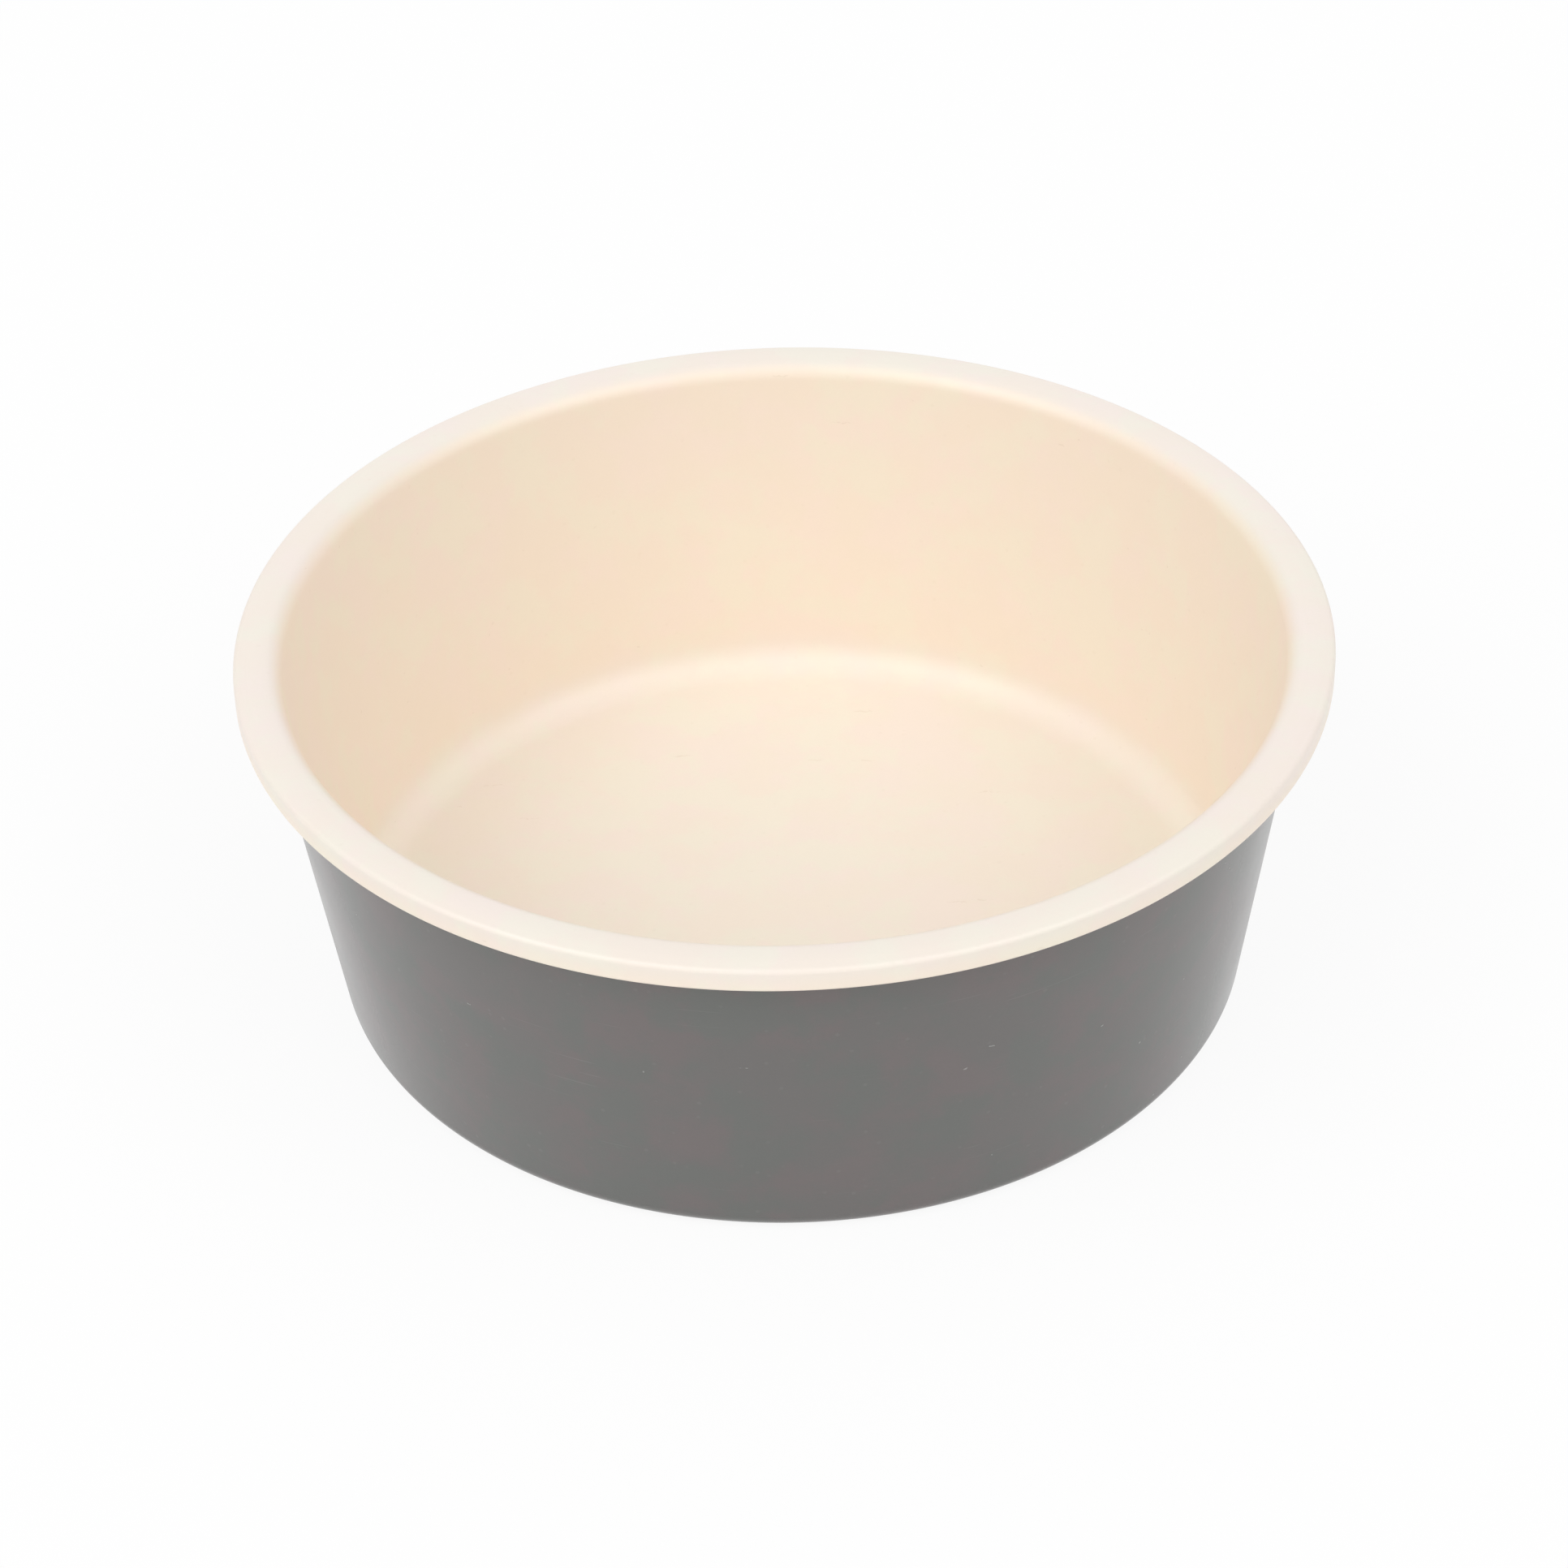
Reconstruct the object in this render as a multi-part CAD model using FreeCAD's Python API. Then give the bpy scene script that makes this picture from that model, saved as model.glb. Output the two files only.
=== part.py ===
"""Round bowl with a flanged rim, 200 mm across, moulded as two nested shells.

The cream liner is the inside of the bowl together with its rim.  The grey outer shell wraps
the liner from the foot up to the rim, where its top edge seats in a groove under the flange.
Both pieces are surfaces of revolution about Z.  Units are millimetres, +Z is up, and the
origin is the centre of the plane that the bowl stands on.
"""

import FreeCAD
import Part

import math
import os

# ---------------------------------------------------------------- driving dimensions

# whole bowl
rim_diameter = 200.0
overall_height = 70.5
wall_taper = 8.2            # degrees that the walls lean out from upright

# rim of the liner
rim_overhang = 5.4          # how far the rim stands out past the shell's wall
lip_height = 4.8            # depth of the rim's outer edge, from its crown to its underside
crown_slope = 4.0           # degrees that the rim's top falls away on each side of its crown
crown_round = 12.0          # round over the crown
crown_inset = 1.5           # distance of the crown in from the shoulder
shoulder_width = 2.4        # band outside the shoulder, which falls away more
shoulder_slope = 10.0       # degrees that the band falls
shoulder_round = 6.0        # round from the crown to the band
rim_inner_round = 3.5       # round from the rim's top into the bowl
rim_outer_round = 1.0       # round from the band to the rim's outer edge
rim_lower_round = 0.5       # round under the outer edge

# walls and floors, measured square to their faces
liner_wall = 1.75
liner_floor = 2.4
shell_wall = 1.55
shell_floor = 1.5
bond_line = 0.2             # gap that the adhesive fills between the two curved walls
inside_corner = 6.5         # round between the floor and the wall, inside the bowl
base_corner = 3.5           # round between the foot and the wall, outside the bowl

# groove under the rim, which takes the shell's top edge
groove_depth = 1.4
groove_clearance = 0.15
groove_round = 0.25
shell_edge_round = 0.35

# foot: a flat ring to stand on, around a shallow recess
foot_width = 9.0
foot_recess = 0.6
recess_slope_width = 1.5
foot_round = 0.5

# ---------------------------------------------------------------- sizes worked out from them

taper = math.radians(wall_taper)
crown_angle = math.radians(crown_slope)
shoulder_angle = math.radians(shoulder_slope)
rim_radius = rim_diameter / 2.0

lip_underside = overall_height - lip_height
groove_roof = lip_underside + groove_depth
liner_underside = foot_recess + shell_floor
inside_floor = liner_underside + liner_floor

liner_outer_corner = inside_corner + liner_wall
shell_inner_corner = liner_outer_corner + bond_line


def level(thickness):
    """Width across a leaning wall measured level, from its thickness measured square."""
    return thickness / math.cos(taper)


def shell_outside(height):
    """Radius of the shell's outer wall at a height."""
    return rim_radius - rim_overhang + (height - lip_underside) * math.tan(taper)


def shell_inside(height):
    """Radius of the shell's inner wall at a height."""
    return shell_outside(height) - level(shell_wall)


def liner_outside(height):
    """Radius of the liner's outer wall at a height, a bond line in from the shell."""
    return shell_inside(height) - level(bond_line)


def liner_inside(height):
    """Radius of the liner's inner wall at a height."""
    return liner_outside(height) - level(liner_wall)


# ---------------------------------------------------------------- turned sections


def point(radius, height):
    """A point of a half-section, which lies in the XZ plane."""
    return FreeCAD.Vector(radius, 0.0, height)


def rounded(before, corner, after, radius):
    """Start and end of the arc that rounds one corner, and the arc's edge."""
    arriving = (corner - before).normalize()
    leaving = (after - corner).normalize()
    half_turn = arriving.getAngle(leaving) / 2.0
    setback = radius * math.tan(half_turn)
    start = corner - arriving * setback
    end = corner + leaving * setback
    bulge = radius * (1.0 / math.cos(half_turn) - 1.0)
    middle = corner + (leaving - arriving).normalize() * bulge
    return start, end, Part.Arc(start, middle, end).toShape()


def half_section(corners):
    """Face inside a closed outline of (radius, height, round) corners, with tangent rounds."""
    places = [point(radius, height) for radius, height, _ in corners]
    starts, ends, edges = [], [], []
    for i, (_, _, radius) in enumerate(corners):
        here = places[i]
        if radius > 0.0:
            start, end, arc = rounded(places[i - 1], here, places[(i + 1) % len(places)], radius)
            edges.append(arc)
        else:
            start, end = here, here
        starts.append(start)
        ends.append(end)
    for end, start in zip(ends, starts[1:] + starts[:1]):
        edges.append(Part.LineSegment(end, start).toShape())
    return Part.Face(Part.Wire(Part.__sortEdges__(edges)))


def turned(corners):
    """Solid made by turning a rounded half-section once about Z."""
    axis_base = FreeCAD.Vector(0.0, 0.0, 0.0)
    axis = FreeCAD.Vector(0.0, 0.0, 1.0)
    return half_section(corners).revolve(axis_base, axis, 360.0)


# ---------------------------------------------------------------- liner and its rim


def make_liner():
    """Inside of the bowl: floor, wall, crowned rim, and the groove on the rim's underside."""
    shoulder = rim_radius - shoulder_width
    crown = shoulder - crown_inset
    crown_top = overall_height + crown_round * (1.0 / math.cos(crown_angle) - 1.0)
    inner_top = crown_top - (crown - liner_inside(overall_height)) * math.tan(crown_angle)
    shoulder_top = crown_top - crown_inset * math.tan(crown_angle)
    lip_top = shoulder_top - shoulder_width * math.tan(shoulder_angle)
    groove_wall = shell_outside(groove_roof) + groove_clearance

    return turned([
        (0.0, inside_floor, 0.0),
        (liner_inside(inside_floor), inside_floor, inside_corner),
        (liner_inside(inner_top), inner_top, rim_inner_round),
        (crown, crown_top, crown_round),
        (shoulder, shoulder_top, shoulder_round),
        (rim_radius, lip_top, rim_outer_round),
        (rim_radius, lip_underside, rim_lower_round),
        (groove_wall, lip_underside, groove_round),
        (groove_wall, groove_roof, 0.0),
        (liner_outside(groove_roof), groove_roof, 0.0),
        (liner_outside(liner_underside), liner_underside, liner_outer_corner),
        (0.0, liner_underside, 0.0),
    ])


# ---------------------------------------------------------------- outer shell and its foot


def make_outer_shell():
    """Outside of the bowl: foot ring, base corner, wall, and the edge that seats in the rim."""
    foot_outer = shell_outside(0.0) - base_corner * math.tan((math.pi / 2.0 - taper) / 2.0)
    foot_inner = foot_outer - foot_width

    return turned([
        (0.0, foot_recess, 0.0),
        (foot_inner - recess_slope_width, foot_recess, foot_round),
        (foot_inner, 0.0, foot_round),
        (shell_outside(0.0), 0.0, base_corner),
        (shell_outside(groove_roof), groove_roof, shell_edge_round),
        (shell_inside(groove_roof), groove_roof, shell_edge_round),
        (shell_inside(liner_underside), liner_underside, shell_inner_corner),
        (0.0, liner_underside, 0.0),
    ])


# ---------------------------------------------------------------- one file for each piece

pieces = {
    "liner": make_liner(),
    "outer_shell": make_outer_shell(),
}

os.makedirs("parts", exist_ok=True)
for name, solid in pieces.items():
    solid.exportStep(f"parts/{name}.step")
    print(f"{name}: {solid.ShapeType}, valid {solid.isValid()}, {solid.Volume / 1000.0:.2f} cm3")
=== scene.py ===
"""Looks of a round bowl: a grey moulded outer shell with a cream liner and rim nested in it."""

import math

import bpy
import numpy as np
from mathutils import Matrix, Vector


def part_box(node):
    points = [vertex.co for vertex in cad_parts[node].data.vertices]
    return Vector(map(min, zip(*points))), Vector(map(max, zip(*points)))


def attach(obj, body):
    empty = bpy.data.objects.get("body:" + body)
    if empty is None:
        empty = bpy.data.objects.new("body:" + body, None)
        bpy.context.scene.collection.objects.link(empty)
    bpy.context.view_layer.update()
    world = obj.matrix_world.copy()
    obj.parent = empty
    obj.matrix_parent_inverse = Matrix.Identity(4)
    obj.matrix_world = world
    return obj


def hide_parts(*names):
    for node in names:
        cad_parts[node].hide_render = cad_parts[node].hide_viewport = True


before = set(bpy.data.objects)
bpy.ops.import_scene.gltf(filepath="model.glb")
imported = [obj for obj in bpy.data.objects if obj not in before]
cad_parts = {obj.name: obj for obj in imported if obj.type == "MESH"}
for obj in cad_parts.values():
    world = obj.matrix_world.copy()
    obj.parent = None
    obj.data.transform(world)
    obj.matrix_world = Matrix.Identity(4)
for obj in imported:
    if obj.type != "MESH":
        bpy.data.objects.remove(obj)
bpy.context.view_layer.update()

# ------------------------------------------------------------------ outer shell
# The grey outside of the bowl, from the foot ring up to the rim.  It is one moulding of
# filled resin, pressed in a polished steel mould, so its skin is satin with a faint ripple.
# Its top edge seats in a groove under the rim, where it is bonded to the liner.

TAPER = math.radians(8.2)
SHELL_WALL = 0.00155
SHELL_FLOOR = 0.0015
BASE_CORNER = 0.0035
FOOT_WIDTH = 0.009
FOOT_RECESS = 0.0006
RECESS_SLOPE = 0.0015
FOOT_ROUND = 0.0005
SHELL_EDGE_ROUND = 0.00035
SHELL_INNER_CORNER = 0.00845    # round inside, which follows the liner's corner

SPOKES = 360                # facets round every turned piece


def straight_run(start, end, margin=0.0004, step=0.004):
    """Points from start towards end: one a margin in from each end, and even steps between.
    The last point is left out, because the next run or round begins with it."""
    length = np.linalg.norm(end - start)
    if length < 3 * margin:
        along = np.zeros(1)
    else:
        inner = np.linspace(margin, length - margin, max(2, round(length / step) + 1))
        along = np.concatenate([[0.0], inner])
    return start + (end - start) * (along / length)[:, None]


def half_outline(corners, turn_step=math.radians(7.0)):
    """Half-section through (radius, height, round) corners that starts and ends on the axis.
    A round is an arc tangent to both runs: it starts its radius times the tangent of half the
    turn before the corner, and each of its points is the start turned about the arc's centre."""
    places = np.array([corner[:2] for corner in corners])
    points = []
    leave = places[0]
    for i in range(1, len(corners) - 1):
        into = (places[i] - places[i - 1]) / np.linalg.norm(places[i] - places[i - 1])
        away = (places[i + 1] - places[i]) / np.linalg.norm(places[i + 1] - places[i])
        turn = math.atan2(into[0] * away[1] - into[1] * away[0], into @ away)
        radius = corners[i][2]
        arrive = places[i] - into * radius * math.tan(abs(turn) / 2)
        points.append(straight_run(leave, arrive))
        leave = places[i] + away * radius * math.tan(abs(turn) / 2)
        if radius > 0:
            centre = arrive + np.array([-into[1], into[0]]) * math.copysign(radius, turn)
            angles = np.linspace(0, turn, max(4, round(abs(turn) / turn_step)) + 1)[:-1]
            spoke = arrive - centre
            cosine, sine = np.cos(angles), np.sin(angles)
            arc = np.stack([spoke[0] * cosine - spoke[1] * sine,
                            spoke[0] * sine + spoke[1] * cosine], axis=1)
            points.append(centre + arc)
    points.append(straight_run(leave, places[-1]))
    points.append(places[-1:])
    return np.concatenate(points)


def turned_piece(name, outline):
    """Surface of revolution: point (i, j) is outline point i at angle 2 pi j / SPOKES about Z.
    The outline's first and last points are single poles, closed by a fan of triangles."""
    rings = outline[1:-1]
    angles = np.arange(SPOKES) * 2 * math.pi / SPOKES
    grid = np.stack([rings[:, :1] * np.cos(angles), rings[:, :1] * np.sin(angles),
                     np.repeat(rings[:, 1:], SPOKES, axis=1)], axis=2)
    poles = np.array([[0, 0, outline[0, 1]], [0, 0, outline[-1, 1]]])
    vertices = np.concatenate([grid.reshape(-1, 3), poles])

    ring = np.arange(len(rings) - 1)[:, None] * SPOKES
    here = np.arange(SPOKES)[None, :]
    beside = (here + 1) % SPOKES
    quads = np.stack([ring + here, ring + SPOKES + here,
                      ring + SPOKES + beside, ring + beside], axis=2).reshape(-1, 4)
    first, last = len(vertices) - 2, len(vertices) - 1
    last_ring = (len(rings) - 1) * SPOKES
    start_fan = np.stack([np.full(SPOKES, first), here[0], beside[0]], axis=1)
    end_fan = np.stack([np.full(SPOKES, last), last_ring + beside[0], last_ring + here[0]], axis=1)

    mesh = bpy.data.meshes.new(name)
    mesh.from_pydata(vertices.tolist(), [], quads.tolist() + start_fan.tolist() + end_fan.tolist())
    mesh.shade_smooth()
    piece = bpy.data.objects.new(name, mesh)
    bpy.context.scene.collection.objects.link(piece)
    return piece


shell_low, shell_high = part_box("outer_shell")
shell_top = shell_high.z
shell_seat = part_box("liner")[0].z                       # height of the liner's underside
shell_shoulder = shell_high.x + SHELL_EDGE_ROUND * math.tan(TAPER)


def shell_outside(height):
    """Radius of the shell's outer wall at a height."""
    return shell_shoulder - (shell_top - height) * math.tan(TAPER)


def shell_inside(height):
    """Radius of the shell's inner wall at a height."""
    return shell_outside(height) - SHELL_WALL / math.cos(TAPER)


foot_outer = shell_outside(0.0) - BASE_CORNER * math.tan((math.pi / 2 - TAPER) / 2)
foot_inner = foot_outer - FOOT_WIDTH
shell = turned_piece("shell_moulding", half_outline([
    (0.0, shell_seat, 0.0),
    (shell_inside(shell_seat), shell_seat, SHELL_INNER_CORNER),
    (shell_inside(shell_top), shell_top, SHELL_EDGE_ROUND),
    (shell_outside(shell_top), shell_top, SHELL_EDGE_ROUND),
    (shell_outside(0.0), 0.0, BASE_CORNER),
    (foot_inner, 0.0, FOOT_ROUND),
    (foot_inner - RECESS_SLOPE, FOOT_RECESS, FOOT_ROUND),
    (0.0, FOOT_RECESS, 0.0),
]))


def add_node(tree, kind, inputs=(), **settings):
    """One node of a tree, with its settings, and its inputs as values or links by name or place."""
    made = tree.nodes.new(kind)
    for key, value in settings.items():
        setattr(made, key, value)
    for key, value in dict(inputs).items():
        if isinstance(value, bpy.types.NodeSocket):
            tree.links.new(value, made.inputs[key])
        else:
            made.inputs[key].default_value = value
    return made


def maths(tree, operation, *values):
    """Result of a maths node on one, two or three values."""
    made = add_node(tree, "ShaderNodeMath", dict(enumerate(values)), operation=operation)
    return made.outputs[0]


def ramp(tree, value, low, high, low_result=0.0, high_result=1.0):
    """A value carried smoothly from one range to another, and held at both ends."""
    made = add_node(tree, "ShaderNodeMapRange",
                    {"Value": value, "From Min": low, "From Max": high,
                     "To Min": low_result, "To Max": high_result},
                    interpolation_type="SMOOTHSTEP")
    return made.outputs["Result"]


def blend(tree, factor, first, second, way="MIX"):
    """Two colours mixed by a factor."""
    made = add_node(tree, "ShaderNodeMix", {0: factor, 6: first, 7: second},
                    data_type="RGBA", blend_type=way)
    return made.outputs[2]


def noise(tree, place, scale, detail=2.0, roughness=0.5):
    """Value of a noise texture at a place, around one half."""
    made = add_node(tree, "ShaderNodeTexNoise",
                    {"Vector": place, "Scale": scale, "Detail": detail, "Roughness": roughness})
    return made.outputs["Fac"]


def reach(tree, place):
    """Distance of a place from the bowl's axis."""
    level = add_node(tree, "ShaderNodeVectorMath", {0: place, 1: (1, 1, 0)}, operation="MULTIPLY")
    made = add_node(tree, "ShaderNodeVectorMath", {0: level.outputs[0]}, operation="LENGTH")
    return made.outputs["Value"]


def new_group(name, inputs, outputs):
    """Shader node group with named sockets; an input is (name, type, value)."""
    tree = bpy.data.node_groups.new(name, "ShaderNodeTree")
    for label, kind, value in inputs:
        socket = tree.interface.new_socket(label, in_out="INPUT", socket_type="NodeSocket" + kind)
        socket.default_value = value
    for label, kind in outputs:
        tree.interface.new_socket(label, in_out="OUTPUT", socket_type="NodeSocket" + kind)
    return tree, tree.nodes.new("NodeGroupInput").outputs, tree.nodes.new("NodeGroupOutput").inputs


# Patterns of the resin.  A noise is its scale in waves per metre, its detail and, where that
# isn't one half, its roughness.  A range is where a mask begins and where it is full.
WARM_PATCH_NOISE, WARM_PATCH_RANGE = (58.0, 4.0, 0.6), (0.42, 0.60)
COOL_PATCH_NOISE, COOL_PATCH_RANGE = (76.0, 4.0, 0.6), (0.45, 0.63)
COOL_PATCH_SHIFT = (0.31, 0.17, 0.53)
GRAIN_NOISE = (2600.0, 1.0)
FLECK_CELLS = 420.0                 # cells per metre, with one fleck at most in each
FLECK_RANGE = (0.22, 0.10)          # distance from the cell's middle, in cells
FLECK_CHOICE = (0.70, 0.95)         # random number of the cells that hold a fleck


def resin_mottle_group():
    """Colour of a filled resin: soft warm and cool patches, a fine grain, and sparse flecks."""
    tree, given, result = new_group("resin_mottle", [
        ("Base", "Color", (0.5, 0.5, 0.5, 1)), ("Warm Patch", "Color", (0.5, 0.5, 0.5, 1)),
        ("Cool Patch", "Color", (0.5, 0.5, 0.5, 1)), ("Fleck", "Color", (0.5, 0.5, 0.5, 1)),
        ("Patch Amount", "Float", 0.5), ("Grain Amount", "Float", 0.02),
        ("Fleck Amount", "Float", 0.3)], [("Color", "Color")])
    place = add_node(tree, "ShaderNodeTexCoord").outputs["Object"]
    shifted = add_node(tree, "ShaderNodeMapping", {"Vector": place, "Location": COOL_PATCH_SHIFT})
    warm = ramp(tree, noise(tree, place, *WARM_PATCH_NOISE), *WARM_PATCH_RANGE)
    cool = ramp(tree, noise(tree, shifted.outputs[0], *COOL_PATCH_NOISE), *COOL_PATCH_RANGE)
    colour = blend(tree, maths(tree, "MULTIPLY", warm, given["Patch Amount"]),
                   given["Base"], given["Warm Patch"])
    colour = blend(tree, maths(tree, "MULTIPLY", cool, given["Patch Amount"]),
                   colour, given["Cool Patch"])

    cells = add_node(tree, "ShaderNodeTexVoronoi", {"Vector": place, "Scale": FLECK_CELLS})
    chosen = add_node(tree, "ShaderNodeSeparateColor", {0: cells.outputs["Color"]})
    speck = maths(tree, "MULTIPLY", ramp(tree, cells.outputs["Distance"], *FLECK_RANGE),
                  ramp(tree, chosen.outputs["Red"], *FLECK_CHOICE))
    colour = blend(tree, maths(tree, "MULTIPLY", speck, given["Fleck Amount"]),
                   colour, given["Fleck"])

    grain = maths(tree, "SUBTRACT", noise(tree, place, *GRAIN_NOISE), 0.5)
    shade = maths(tree, "MULTIPLY_ADD", grain, given["Grain Amount"], 1.0)
    shade = add_node(tree, "ShaderNodeCombineXYZ", {0: shade, 1: shade, 2: shade}).outputs[0]
    tree.links.new(blend(tree, 1.0, colour, shade, "MULTIPLY"), result["Color"])
    return tree


STREAK_WAVES_AROUND = 4.0           # waves of a scratch per radian, so that it is long
STREAK_WAVES_ACROSS = 3200.0        # scratches per metre up the wall and across the floor
STREAK_FULL = 0.84                  # noise at which a scratch is full
STREAK_START, STREAK_SPREAD = 0.80, -0.5    # where it begins, and what the share adds to that
BROKEN_NOISE, BROKEN_RANGE = (70.0, 1.0), (0.50, 0.62)
NICK_CELLS = (110.0, 1300.0, 1300.0)    # cells per metre, long in the first direction
NICK_TURNS = ((0.5, 0.3, 1.1), (1.9, 0.8, 0.2))
NICK_RANGE = (0.32, 0.14)           # distance from the cell's middle, in cells
NICK_BEND_WAVES, NICK_BEND = 700.0, 0.0012  # waves per metre, and how far it bends, in metres
RUBBED_NOISE, RUBBED_RANGE = (24.0, 4.0, 0.6), (0.40, 0.68)


def handling_wear_group():
    """Marks of use: hairline scratches that run round the bowl, short nicks, rubbed patches.
    A nick is the middle of a cell of a long, narrow cell pattern, kept where the cell's random
    colour is above a threshold; two patterns, each bent a little, lie across each other."""
    tree, given, result = new_group("handling_wear", [
        ("Scratch Share", "Float", 0.1), ("Nick Share", "Float", 0.006)],
        [("Scratches", "Float"), ("Nicks", "Float"), ("Rubbed", "Float")])
    place = add_node(tree, "ShaderNodeTexCoord").outputs["Object"]
    level = add_node(tree, "ShaderNodeVectorMath", {0: place, 1: (1, 1, 0)}, operation="MULTIPLY")
    facing = add_node(tree, "ShaderNodeVectorMath", {0: level.outputs[0]}, operation="NORMALIZE")
    facing = add_node(tree, "ShaderNodeSeparateXYZ", {0: facing.outputs[0]}).outputs
    height = add_node(tree, "ShaderNodeSeparateXYZ", {0: place}).outputs["Z"]
    across = maths(tree, "ADD", reach(tree, place), height)
    polar = add_node(tree, "ShaderNodeCombineXYZ", {
        0: maths(tree, "MULTIPLY", facing["X"], STREAK_WAVES_AROUND),
        1: maths(tree, "MULTIPLY", facing["Y"], STREAK_WAVES_AROUND),
        2: maths(tree, "MULTIPLY", across, STREAK_WAVES_ACROSS)}).outputs[0]
    streaks = noise(tree, polar, 1.0, 0.0)
    parts = noise(tree, place, *BROKEN_NOISE)
    start = maths(tree, "MULTIPLY_ADD", given["Scratch Share"], STREAK_SPREAD, STREAK_START)
    scratches = maths(tree, "MULTIPLY", ramp(tree, streaks, start, STREAK_FULL),
                      ramp(tree, parts, *BROKEN_RANGE))
    tree.links.new(scratches, result["Scratches"])

    bend = add_node(tree, "ShaderNodeTexNoise",
                    {"Vector": place, "Scale": NICK_BEND_WAVES, "Detail": 1.0})
    bent = add_node(tree, "ShaderNodeVectorMath",
                    {0: bend.outputs["Color"], 1: (NICK_BEND,) * 3, 2: place},
                    operation="MULTIPLY_ADD")
    kept = maths(tree, "SUBTRACT", 1.0, given["Nick Share"])
    nicks = None
    for turn in NICK_TURNS:
        slid = add_node(tree, "ShaderNodeMapping", {
            "Vector": bent.outputs[0], "Rotation": turn, "Scale": NICK_CELLS})
        cells = add_node(tree, "ShaderNodeTexVoronoi", {"Vector": slid.outputs[0], "Scale": 1.0})
        chosen = add_node(tree, "ShaderNodeSeparateColor", {0: cells.outputs["Color"]})
        nick = maths(tree, "MULTIPLY", ramp(tree, cells.outputs["Distance"], *NICK_RANGE),
                     maths(tree, "GREATER_THAN", chosen.outputs["Red"], kept))
        nicks = nick if nicks is None else maths(tree, "MAXIMUM", nicks, nick)
    tree.links.new(nicks, result["Nicks"])
    rubbed = ramp(tree, noise(tree, place, *RUBBED_NOISE), *RUBBED_RANGE)
    tree.links.new(rubbed, result["Rubbed"])
    return tree


RIPPLE_NOISE, RIPPLE_HEIGHT = (45.0, 1.0), 0.00012              # heights in metres
TEXTURE_NOISE, TEXTURE_HEIGHT = (900.0, 3.0, 0.6), 0.000008


def moulded_skin_group():
    """Height of a pressed surface, in metres: a slow ripple, and the mould's fine texture."""
    tree, given, result = new_group("moulded_skin", [
        ("Ripple", "Float", 1.0), ("Texture", "Float", 1.0)], [("Height", "Float")])
    place = add_node(tree, "ShaderNodeTexCoord").outputs["Object"]
    ripple = maths(tree, "MULTIPLY", noise(tree, place, *RIPPLE_NOISE), given["Ripple"])
    texture = maths(tree, "MULTIPLY", noise(tree, place, *TEXTURE_NOISE), given["Texture"])
    total = maths(tree, "ADD", maths(tree, "MULTIPLY", ripple, RIPPLE_HEIGHT),
                  maths(tree, "MULTIPLY", texture, TEXTURE_HEIGHT))
    tree.links.new(total, result["Height"])
    return tree


resin_mottle = resin_mottle_group()
handling_wear = handling_wear_group()
moulded_skin = moulded_skin_group()


def new_material(name):
    """Material with a Principled shader; gives the material, its tree and the shader."""
    material = bpy.data.materials.new(name)
    material.use_nodes = True
    return material, material.node_tree, material.node_tree.nodes["Principled BSDF"]


RESIN_IOR = 1.5


def pressed_resin(name, mottle_values, wear_values, skin_values):
    """Material of pressed resin with its skin in place, and what its finish is made from: the
    material, its tree and shader, the mottled colour, the wear masks, the place and its height."""
    material, tree, shader = new_material(name)
    mottle = add_node(tree, "ShaderNodeGroup", mottle_values, node_tree=resin_mottle)
    wear = add_node(tree, "ShaderNodeGroup", wear_values, node_tree=handling_wear)
    skin = add_node(tree, "ShaderNodeGroup", skin_values, node_tree=moulded_skin)
    bump = add_node(tree, "ShaderNodeBump", {"Height": skin.outputs["Height"], "Distance": 1.0})
    tree.links.new(bump.outputs["Normal"], shader.inputs["Normal"])
    shader.inputs["IOR"].default_value = RESIN_IOR
    place = add_node(tree, "ShaderNodeTexCoord").outputs["Object"]
    height = add_node(tree, "ShaderNodeSeparateXYZ", {0: place}).outputs["Z"]
    return material, tree, shader, mottle.outputs["Color"], wear.outputs, place, height


SHELL_MOTTLE = {
    "Base": (0.137, 0.130, 0.126, 1), "Warm Patch": (0.152, 0.129, 0.128, 1),
    "Cool Patch": (0.126, 0.133, 0.125, 1), "Fleck": (0.20, 0.20, 0.19, 1),
    "Patch Amount": 0.8, "Grain Amount": 0.05, "Fleck Amount": 0.2,
}
SHELL_WEAR = {"Scratch Share": 0.10, "Nick Share": 0.002}
SHELL_SKIN = {"Ripple": 1.0, "Texture": 1.0}
WORN_GREY = (0.34, 0.34, 0.33, 1)       # bare resin under a mark
SCRATCH_PALENESS, SCUFF_PALENESS, NICK_PALENESS = 0.12, 0.4, 0.6
SCUFF_HEIGHTS = (0.0005, 0.0001)        # only the ring that stands on the table is scuffed
SCUFF_NOISE, SCUFF_RANGE = (190.0, 8.0, 0.8), (0.44, 0.68)
SHELL_ROUGHNESS, SHELL_RUBBED, SHELL_MARKED = 0.20, 0.04, 0.25


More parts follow.
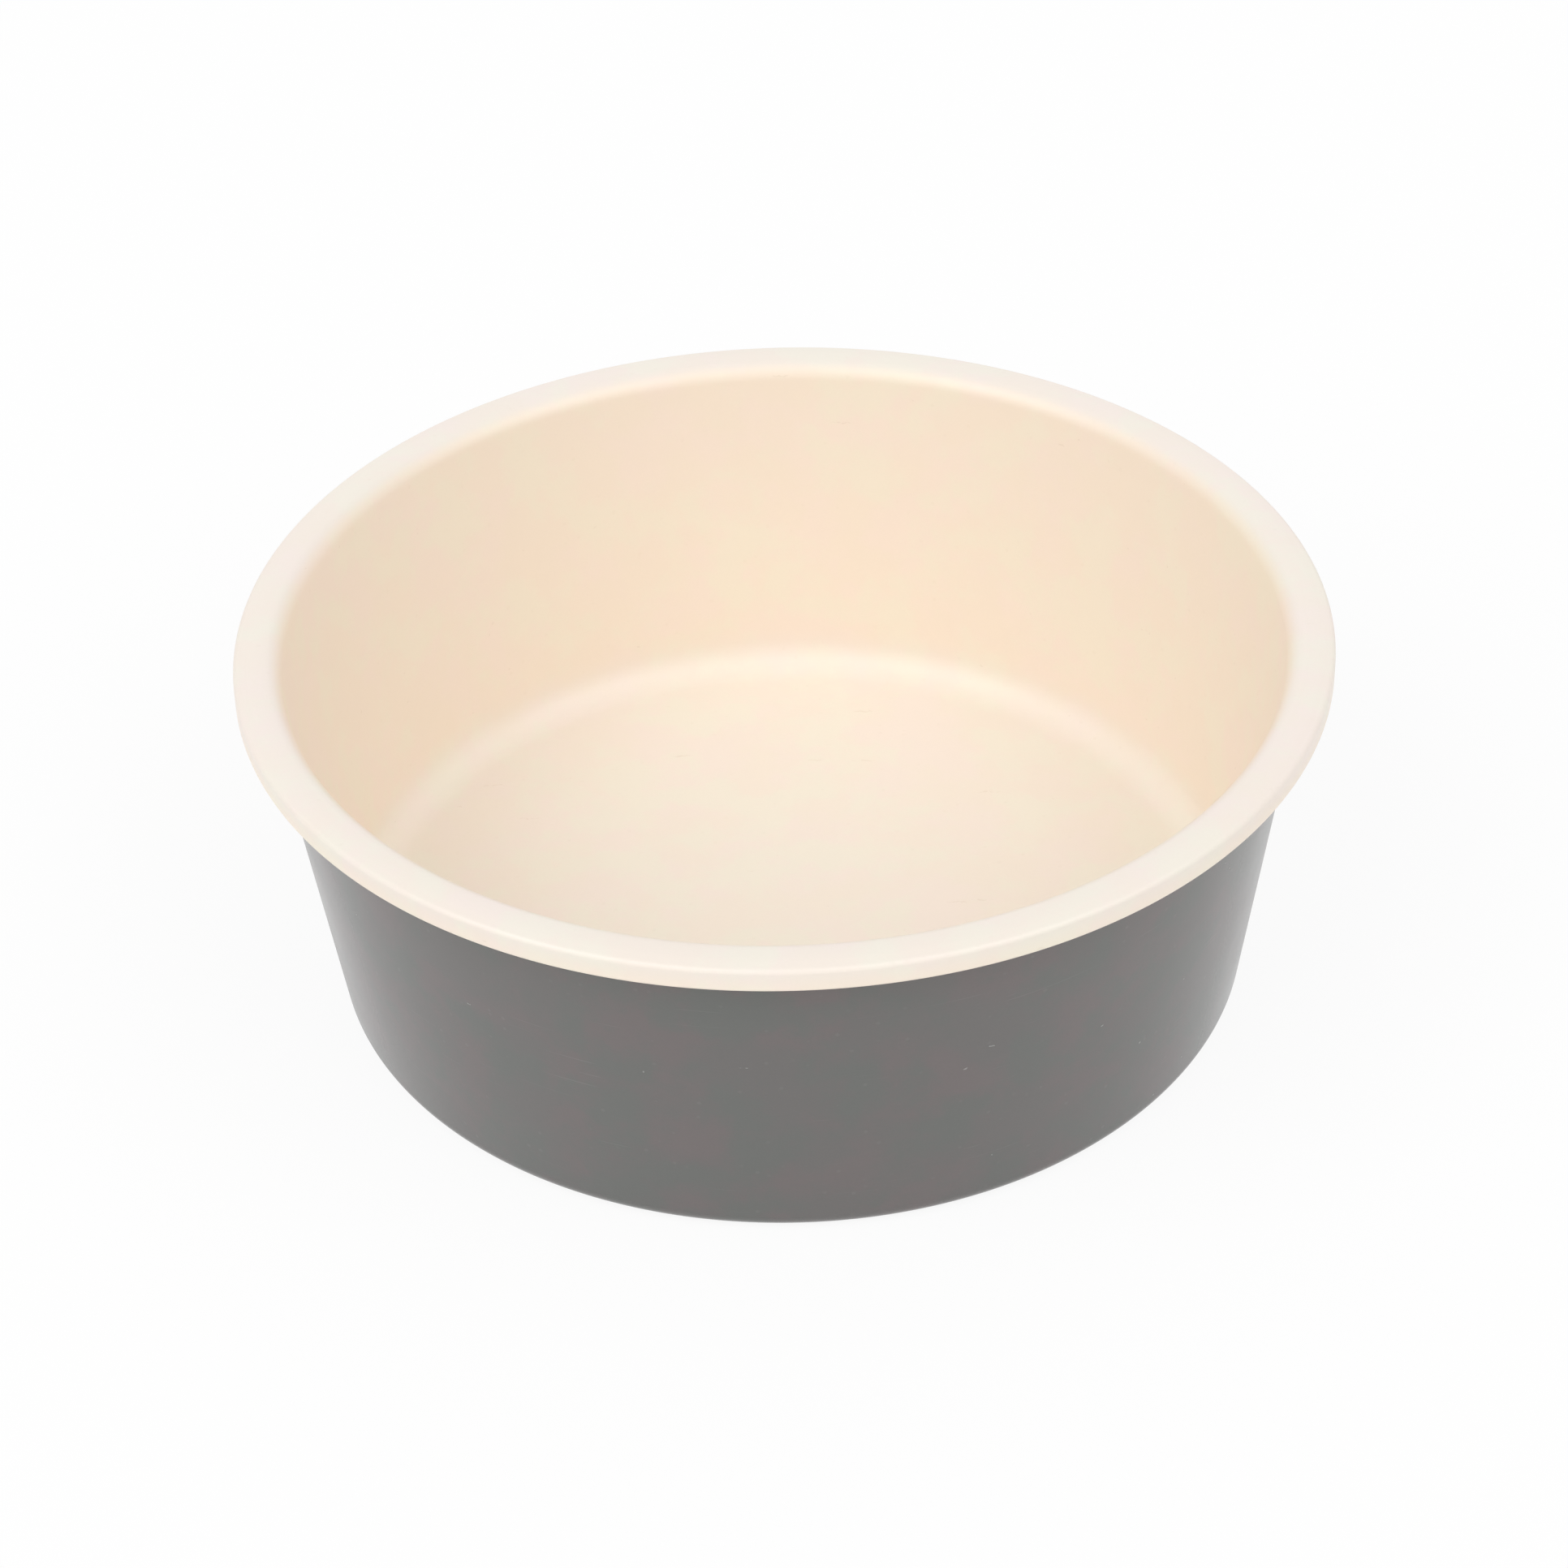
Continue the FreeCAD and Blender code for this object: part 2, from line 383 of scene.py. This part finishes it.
def shell_grey():
    """Satin warm grey: mottled resin, light nicks and scratches, and a scuffed foot ring."""
    material, tree, shader, mottled, wear, place, height = pressed_resin(
        "shell_grey", SHELL_MOTTLE, SHELL_WEAR, SHELL_SKIN)
    scuffs = maths(tree, "MULTIPLY", ramp(tree, height, *SCUFF_HEIGHTS),
                   ramp(tree, noise(tree, place, *SCUFF_NOISE), *SCUFF_RANGE))
    marks = maths(tree, "MAXIMUM", maths(tree, "MULTIPLY", wear["Scratches"], SCRATCH_PALENESS),
                  maths(tree, "MULTIPLY", scuffs, SCUFF_PALENESS))
    marks = maths(tree, "MAXIMUM", marks, maths(tree, "MULTIPLY", wear["Nicks"], NICK_PALENESS))
    tree.links.new(blend(tree, marks, mottled, WORN_GREY), shader.inputs["Base Color"])

    roughness = maths(tree, "MULTIPLY_ADD", wear["Rubbed"], SHELL_RUBBED, SHELL_ROUGHNESS)
    roughness = maths(tree, "MULTIPLY_ADD", marks, SHELL_MARKED, roughness)
    tree.links.new(roughness, shader.inputs["Roughness"])
    return material


shell.data.materials.append(shell_grey())
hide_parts("outer_shell")
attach(shell, "root")

# ------------------------------------------------------------------ liner and rim
# The cream inside of the bowl, in one piece with the crowned rim and its turned-down edge.
# It is pressed from the same resin in a lighter colour, and drops into the shell from above;
# the groove under its rim takes the shell's top edge.

LINER_WALL = 0.00175
LINER_FLOOR = 0.0024
BOND_LINE = 0.0002
INSIDE_CORNER = 0.0065
LIP_HEIGHT = 0.0048
CROWN_ANGLE = math.radians(4.0)
CROWN_ROUND = 0.012
CROWN_INSET = 0.0015
SHOULDER_WIDTH = 0.0024
SHOULDER_ANGLE = math.radians(10.0)
SHOULDER_ROUND = 0.006
RIM_INNER_ROUND = 0.0035
RIM_OUTER_ROUND = 0.001
RIM_LOWER_ROUND = 0.0005
GROOVE_CLEARANCE = 0.00015
GROOVE_ROUND = 0.00025

liner_low, liner_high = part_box("liner")
rim_radius = liner_high.x
bowl_height = liner_high.z
lip_underside = bowl_height - LIP_HEIGHT
inside_floor = liner_low.z + LINER_FLOOR


def liner_outside(height):
    """Radius of the liner's outer wall at a height, a bond line in from the shell."""
    return shell_inside(height) - BOND_LINE / math.cos(TAPER)


def liner_inside(height):
    """Radius of the liner's inner wall at a height."""
    return liner_outside(height) - LINER_WALL / math.cos(TAPER)


rim_shoulder = rim_radius - SHOULDER_WIDTH
crown_line = rim_shoulder - CROWN_INSET
crown_top = bowl_height + CROWN_ROUND * (1 / math.cos(CROWN_ANGLE) - 1)
inner_edge = liner_inside(bowl_height)
inner_top = crown_top - (crown_line - inner_edge) * math.tan(CROWN_ANGLE)
shoulder_top = crown_top - CROWN_INSET * math.tan(CROWN_ANGLE)
lip_top = shoulder_top - SHOULDER_WIDTH * math.tan(SHOULDER_ANGLE)
groove_wall = shell_outside(shell_top) + GROOVE_CLEARANCE
liner = turned_piece("liner_moulding", half_outline([
    (0.0, inside_floor, 0.0),
    (liner_inside(inside_floor), inside_floor, INSIDE_CORNER),
    (liner_inside(inner_top), inner_top, RIM_INNER_ROUND),
    (crown_line, crown_top, CROWN_ROUND),
    (rim_shoulder, shoulder_top, SHOULDER_ROUND),
    (rim_radius, lip_top, RIM_OUTER_ROUND),
    (rim_radius, lip_underside, RIM_LOWER_ROUND),
    (groove_wall, lip_underside, GROOVE_ROUND),
    (groove_wall, shell_top, 0.0),
    (liner_outside(shell_top), shell_top, 0.0),
    (liner_outside(liner_low.z), liner_low.z, INSIDE_CORNER + LINER_WALL),
    (0.0, liner_low.z, 0.0),
]))


LINER_MOTTLE = {
    "Base": (0.898, 0.782, 0.655, 1), "Warm Patch": (0.905, 0.776, 0.672, 1),
    "Cool Patch": (0.883, 0.806, 0.664, 1), "Fleck": (0.70, 0.58, 0.44, 1),
    "Patch Amount": 0.8, "Grain Amount": 0.02, "Fleck Amount": 0.08,
}
LINER_WEAR = {"Scratch Share": 0.20, "Nick Share": 0.004}
LINER_SKIN = {"Ripple": 1.0, "Texture": 1.0}
# Painted light: the mottled cream is multiplied by a tint for each part of the liner, the rim and
# the floor less yellow than the walls, in place of the walls' warmer bounce light; the resin itself
# is one colour.
FLOOR_PAINTED_LIGHT_TINT, WALL_PAINTED_LIGHT_TINT = (0.975, 1.012, 1.058, 1), (1.0, 1.0, 1.0, 1)
RIM_PAINTED_LIGHT_TINT = (0.938, 0.978, 1.052, 1)
FLOOR_TO_WALL = (0.006, 0.014)          # heights over which the floor's painted-light tint gives way
RIM_REACHES = (0.0914, 0.0936)          # distances from the axis over which the rim's painted-light tint begins
RIM_HEIGHTS = (0.0640, 0.0712)          # and heights
NICK_BROWN, NICK_DEPTH = (0.66, 0.54, 0.42, 1), 0.25
WALL_ROUGHNESS, RIM_ROUGHNESS = 0.45, 0.38
ROUGHNESS_HEIGHTS = (0.055, 0.0695)     # heights over which the wall's gives way to the rim's
LINER_RUBBED, LINER_SCRATCHED = 0.05, 0.05


def liner_cream():
    """Satin cream: mottled resin, painted light that tints the rim and the floor less yellow than
    the walls in place of the walls' warmer bounce light, and stirring scratches.
    """
    material, tree, shader, mottled, wear, place, height = pressed_resin(
        "liner_cream", LINER_MOTTLE, LINER_WEAR, LINER_SKIN)
    # Painted light: the rim and the floor are tinted less yellow than the walls, in place of the
    # walls' warmer bounce light.
    rim = maths(tree, "MULTIPLY", ramp(tree, reach(tree, place), *RIM_REACHES),
                ramp(tree, height, *RIM_HEIGHTS))
    painted_light_tint = blend(tree, ramp(tree, height, *FLOOR_TO_WALL), FLOOR_PAINTED_LIGHT_TINT, WALL_PAINTED_LIGHT_TINT)
    painted_light_tint = blend(tree, rim, painted_light_tint, RIM_PAINTED_LIGHT_TINT)
    colour = blend(tree, 1.0, mottled, painted_light_tint, "MULTIPLY")
    marks = maths(tree, "MULTIPLY", wear["Nicks"], NICK_DEPTH)
    tree.links.new(blend(tree, marks, colour, NICK_BROWN), shader.inputs["Base Color"])

    roughness = ramp(tree, height, *ROUGHNESS_HEIGHTS, WALL_ROUGHNESS, RIM_ROUGHNESS)
    roughness = maths(tree, "MULTIPLY_ADD", wear["Rubbed"], LINER_RUBBED, roughness)
    roughness = maths(tree, "MULTIPLY_ADD", wear["Scratches"], LINER_SCRATCHED, roughness)
    tree.links.new(roughness, shader.inputs["Roughness"])
    return material


liner.data.materials.append(liner_cream())
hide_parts("liner")
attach(liner, "root")

# ------------------------------------------------------------------ floor, lights and camera
# A matt white studio sheet, lit by a soft sky, a wide panel at each side of the front and a
# faint low panel behind.  None of it is part of the bowl.

FLOOR_REACH = 4.0
SHEET_WHITE = (0.90, 0.90, 0.90, 1)
SHEET_GLOW = 0.90                   # share of pure white in the sheet where it is seen
SKY_LEVEL = 0.643                   # the sky's light, where 1 is white
PANEL_DISTANCE = 6.0
PANEL_SIZE = 4.5
PANELS = {                          # azimuth and elevation in degrees, and share of full light
    "left_front_panel": (-50.0, 45.0, 0.396),
    "right_front_panel": (50.0, 45.0, 0.287),
    "back_panel": (180.0, 20.0, 0.056),
}
CAMERA_PLACE = (0.0, -0.6598, 0.5198)
CAMERA_AIM = (-0.0007, 0.0, 0.03466)
CAMERA_ROLL = -1.65
CAMERA_LENS = 100.6


def studio_seen(tree):
    """1 where the studio itself is seen, straight on, in a reflection or through something clear,
    and 0 where it only gives light."""
    rays = add_node(tree, "ShaderNodeLightPath").outputs
    seen = maths(tree, "MAXIMUM", rays["Is Camera Ray"], rays["Is Glossy Ray"])
    return maths(tree, "MAXIMUM", seen, rays["Is Transmission Ray"])


def studio_floor():
    """Level square sheet under the bowl."""
    mesh = bpy.data.meshes.new("studio_floor")
    half = FLOOR_REACH
    mesh.from_pydata([(-half, -half, 0), (half, -half, 0), (half, half, 0), (-half, half, 0)],
                     [], [(0, 1, 2, 3)])
    floor = bpy.data.objects.new("studio_floor", mesh)
    bpy.context.scene.collection.objects.link(floor)
    material, tree, shader = new_material("studio_white")
    shader.inputs["Base Color"].default_value = SHEET_WHITE
    shader.inputs["Roughness"].default_value = 0.9
    shader.inputs["Specular IOR Level"].default_value = 0.0
    glow = add_node(tree, "ShaderNodeEmission", {"Color": (1, 1, 1, 1), "Strength": 1.0})
    share = maths(tree, "MULTIPLY", studio_seen(tree), SHEET_GLOW)
    mixed = add_node(tree, "ShaderNodeMixShader",
                     {0: share, 1: shader.outputs[0], 2: glow.outputs[0]})
    tree.links.new(mixed.outputs[0], tree.nodes["Material Output"].inputs["Surface"])
    mesh.materials.append(material)


def studio_sky():
    """Even white surroundings: pure white where they are seen, dimmer as light."""
    world = bpy.data.worlds.new("studio_sky")
    world.use_nodes = True
    tree = world.node_tree
    level = maths(tree, "MULTIPLY_ADD", studio_seen(tree), 1.0 - SKY_LEVEL, SKY_LEVEL)
    tree.links.new(level, tree.nodes["Background"].inputs["Strength"])
    tree.nodes["Background"].inputs["Color"].default_value = (1, 1, 1, 1)
    bpy.context.scene.world = world


def studio_panel(name, azimuth, elevation, level):
    """Soft square lamp aimed at the bowl's middle; at a level of 1 it would light a white sheet
    that faces it to white, by the power pi squared times its distance squared."""
    lamp = bpy.data.lights.new(name, "AREA")
    lamp.shape = "SQUARE"
    lamp.size = PANEL_SIZE
    lamp.energy = level * (math.pi * PANEL_DISTANCE) ** 2
    panel = bpy.data.objects.new(name, lamp)
    bpy.context.scene.collection.objects.link(panel)
    around, up = math.radians(azimuth), math.radians(elevation)
    towards = Vector((math.sin(around) * math.cos(up), -math.cos(around) * math.cos(up),
                      math.sin(up)))
    target = Vector((0, 0, bowl_height / 2))
    panel.location = target + towards * PANEL_DISTANCE
    panel.rotation_euler = (-towards).to_track_quat("-Z", "Y").to_euler()


def studio_camera():
    """Camera at its place, aimed at a point and turned by its roll, in degrees, about its view."""
    camera = bpy.data.objects.new("studio_camera", bpy.data.cameras.new("studio_camera"))
    bpy.context.scene.collection.objects.link(camera)
    view = Vector(CAMERA_AIM) - Vector(CAMERA_PLACE)
    facing = view.to_track_quat("-Z", "Y").to_matrix().to_4x4()
    turn = Matrix.Rotation(math.radians(CAMERA_ROLL), 4, "Z")
    camera.matrix_world = Matrix.Translation(CAMERA_PLACE) @ facing @ turn
    camera.data.lens = CAMERA_LENS
    bpy.context.scene.camera = camera


studio_floor()
studio_sky()
for panel_name, (azimuth, elevation, level) in PANELS.items():
    studio_panel(panel_name, azimuth, elevation, level)
studio_camera()
bpy.context.scene.view_settings.view_transform = "Standard"
